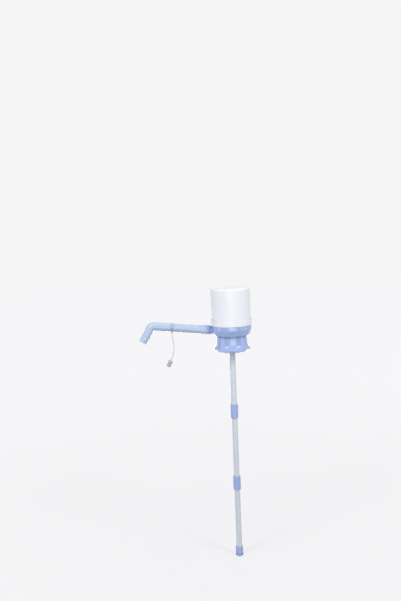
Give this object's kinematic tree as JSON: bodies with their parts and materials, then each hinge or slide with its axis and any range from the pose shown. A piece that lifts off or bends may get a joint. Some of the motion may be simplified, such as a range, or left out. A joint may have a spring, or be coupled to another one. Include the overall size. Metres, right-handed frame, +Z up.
{
  "type": "water jug hand pump",
  "caption": "Hand pump for a large water jug: palm-pressed white cup over a blue collar, long bent spout with tethered stopper, flared lock ring and a long dip tube.",
  "frame": {"origin": "centre of the plane of the jug's mouth, the underside of the neck gasket, on the pump's axis", "axes": "+Z up along the pump's axis, away from the jug; the spout leaves towards -X"},
  "size_m": [0.2348, 0.0844, 0.581],
  "materials": {
    "white_shell": "satin moulded polypropylene",
    "blue_shell": "satin moulded polypropylene, periwinkle blue",
    "pale_blue_spout": "satin moulded polypropylene, paler blue",
    "natural_collet": "natural moulded plastic",
    "soft_bellows": "blow-moulded soft plastic",
    "seal_rubber": "silicone rubber",
    "valve_ball": "polished plastic ball",
    "soft_strap": "soft moulded plastic",
    "tube_plastic": "extruded natural plastic",
    "coupler_plastic": "moulded plastic"
  },
  "bodies": {
    "pump_body": {"collar_housing": "blue_shell", "cup_retaining_ring": "white_shell", "bellows": "soft_bellows", "bellows_clamp_ring": "natural_collet", "inlet_valve_cage": "natural_collet", "inlet_stem_seal": "seal_rubber", "outlet_ball_stop": "natural_collet", "spout_seal_inner": "seal_rubber", "spout_seal_outer": "seal_rubber", "neck_barrel": "blue_shell", "neck_gasket": "seal_rubber", "dip_tube_upper": "tube_plastic", "dip_tube_middle": "tube_plastic", "dip_tube_lower": "tube_plastic", "tube_coupler_upper": "coupler_plastic", "tube_coupler_lower": "coupler_plastic", "intake_foot": "coupler_plastic"},
    "press_head": {"press_cup": "white_shell", "bellows_top_plug": "white_shell"},
    "grip_ring": {"grip_ring": "natural_collet"},
    "lock_ring": {"lock_ring": "blue_shell"},
    "spout": {"spout_arm": "pale_blue_spout"},
    "tether": {"tether_ring": "soft_strap", "tether_strap": "soft_strap", "nozzle_stopper": "soft_strap"},
    "inlet_ball": {"inlet_ball": "valve_ball"},
    "outlet_ball": {"outlet_ball": "valve_ball"}
  },
  "joints": [
    {"name": "press", "type": "slide", "parent": "pump_body", "child": "press_head", "axis": [0, 0, -1], "range_m": [0, 0.015], "stiffness_N_per_m": 250, "springref_m": -0.01, "deforming": ["bellows"]},
    {"name": "grip_travel", "type": "slide", "parent": "pump_body", "child": "grip_ring", "axis": [0, 0, -1], "range_m": [0, 0.003]},
    {"name": "lock_turn", "type": "hinge", "parent": "grip_ring", "child": "lock_ring", "pos_m": [0, 0, 0], "axis": [0, 0, -1], "range_deg": [0, 360]},
    {"name": "spout_swivel", "type": "hinge", "parent": "pump_body", "child": "spout", "pos_m": [0, 0, 0.02532], "axis": [-0.9943, 0, 0.1063], "continuous": true},
    {"name": "tether_swing", "type": "hinge", "parent": "spout", "child": "tether", "pos_m": [0, 0, 0.02532], "axis": [-0.9943, 0, 0.1063], "range_deg": [-90, 90]},
    {"name": "inlet_lift", "type": "slide", "parent": "pump_body", "child": "inlet_ball", "axis": [0, 0, 1], "range_m": [0, 0.0025]},
    {"name": "outlet_lift", "type": "slide", "parent": "pump_body", "child": "outlet_ball", "axis": [-0.9943, 0, 0.1063], "range_m": [0, 0.0025]}
  ],
  "couplings": [
    {"joint": "grip_travel", "follows": "lock_turn", "m_per_rad": 0.0004774}
  ]
}
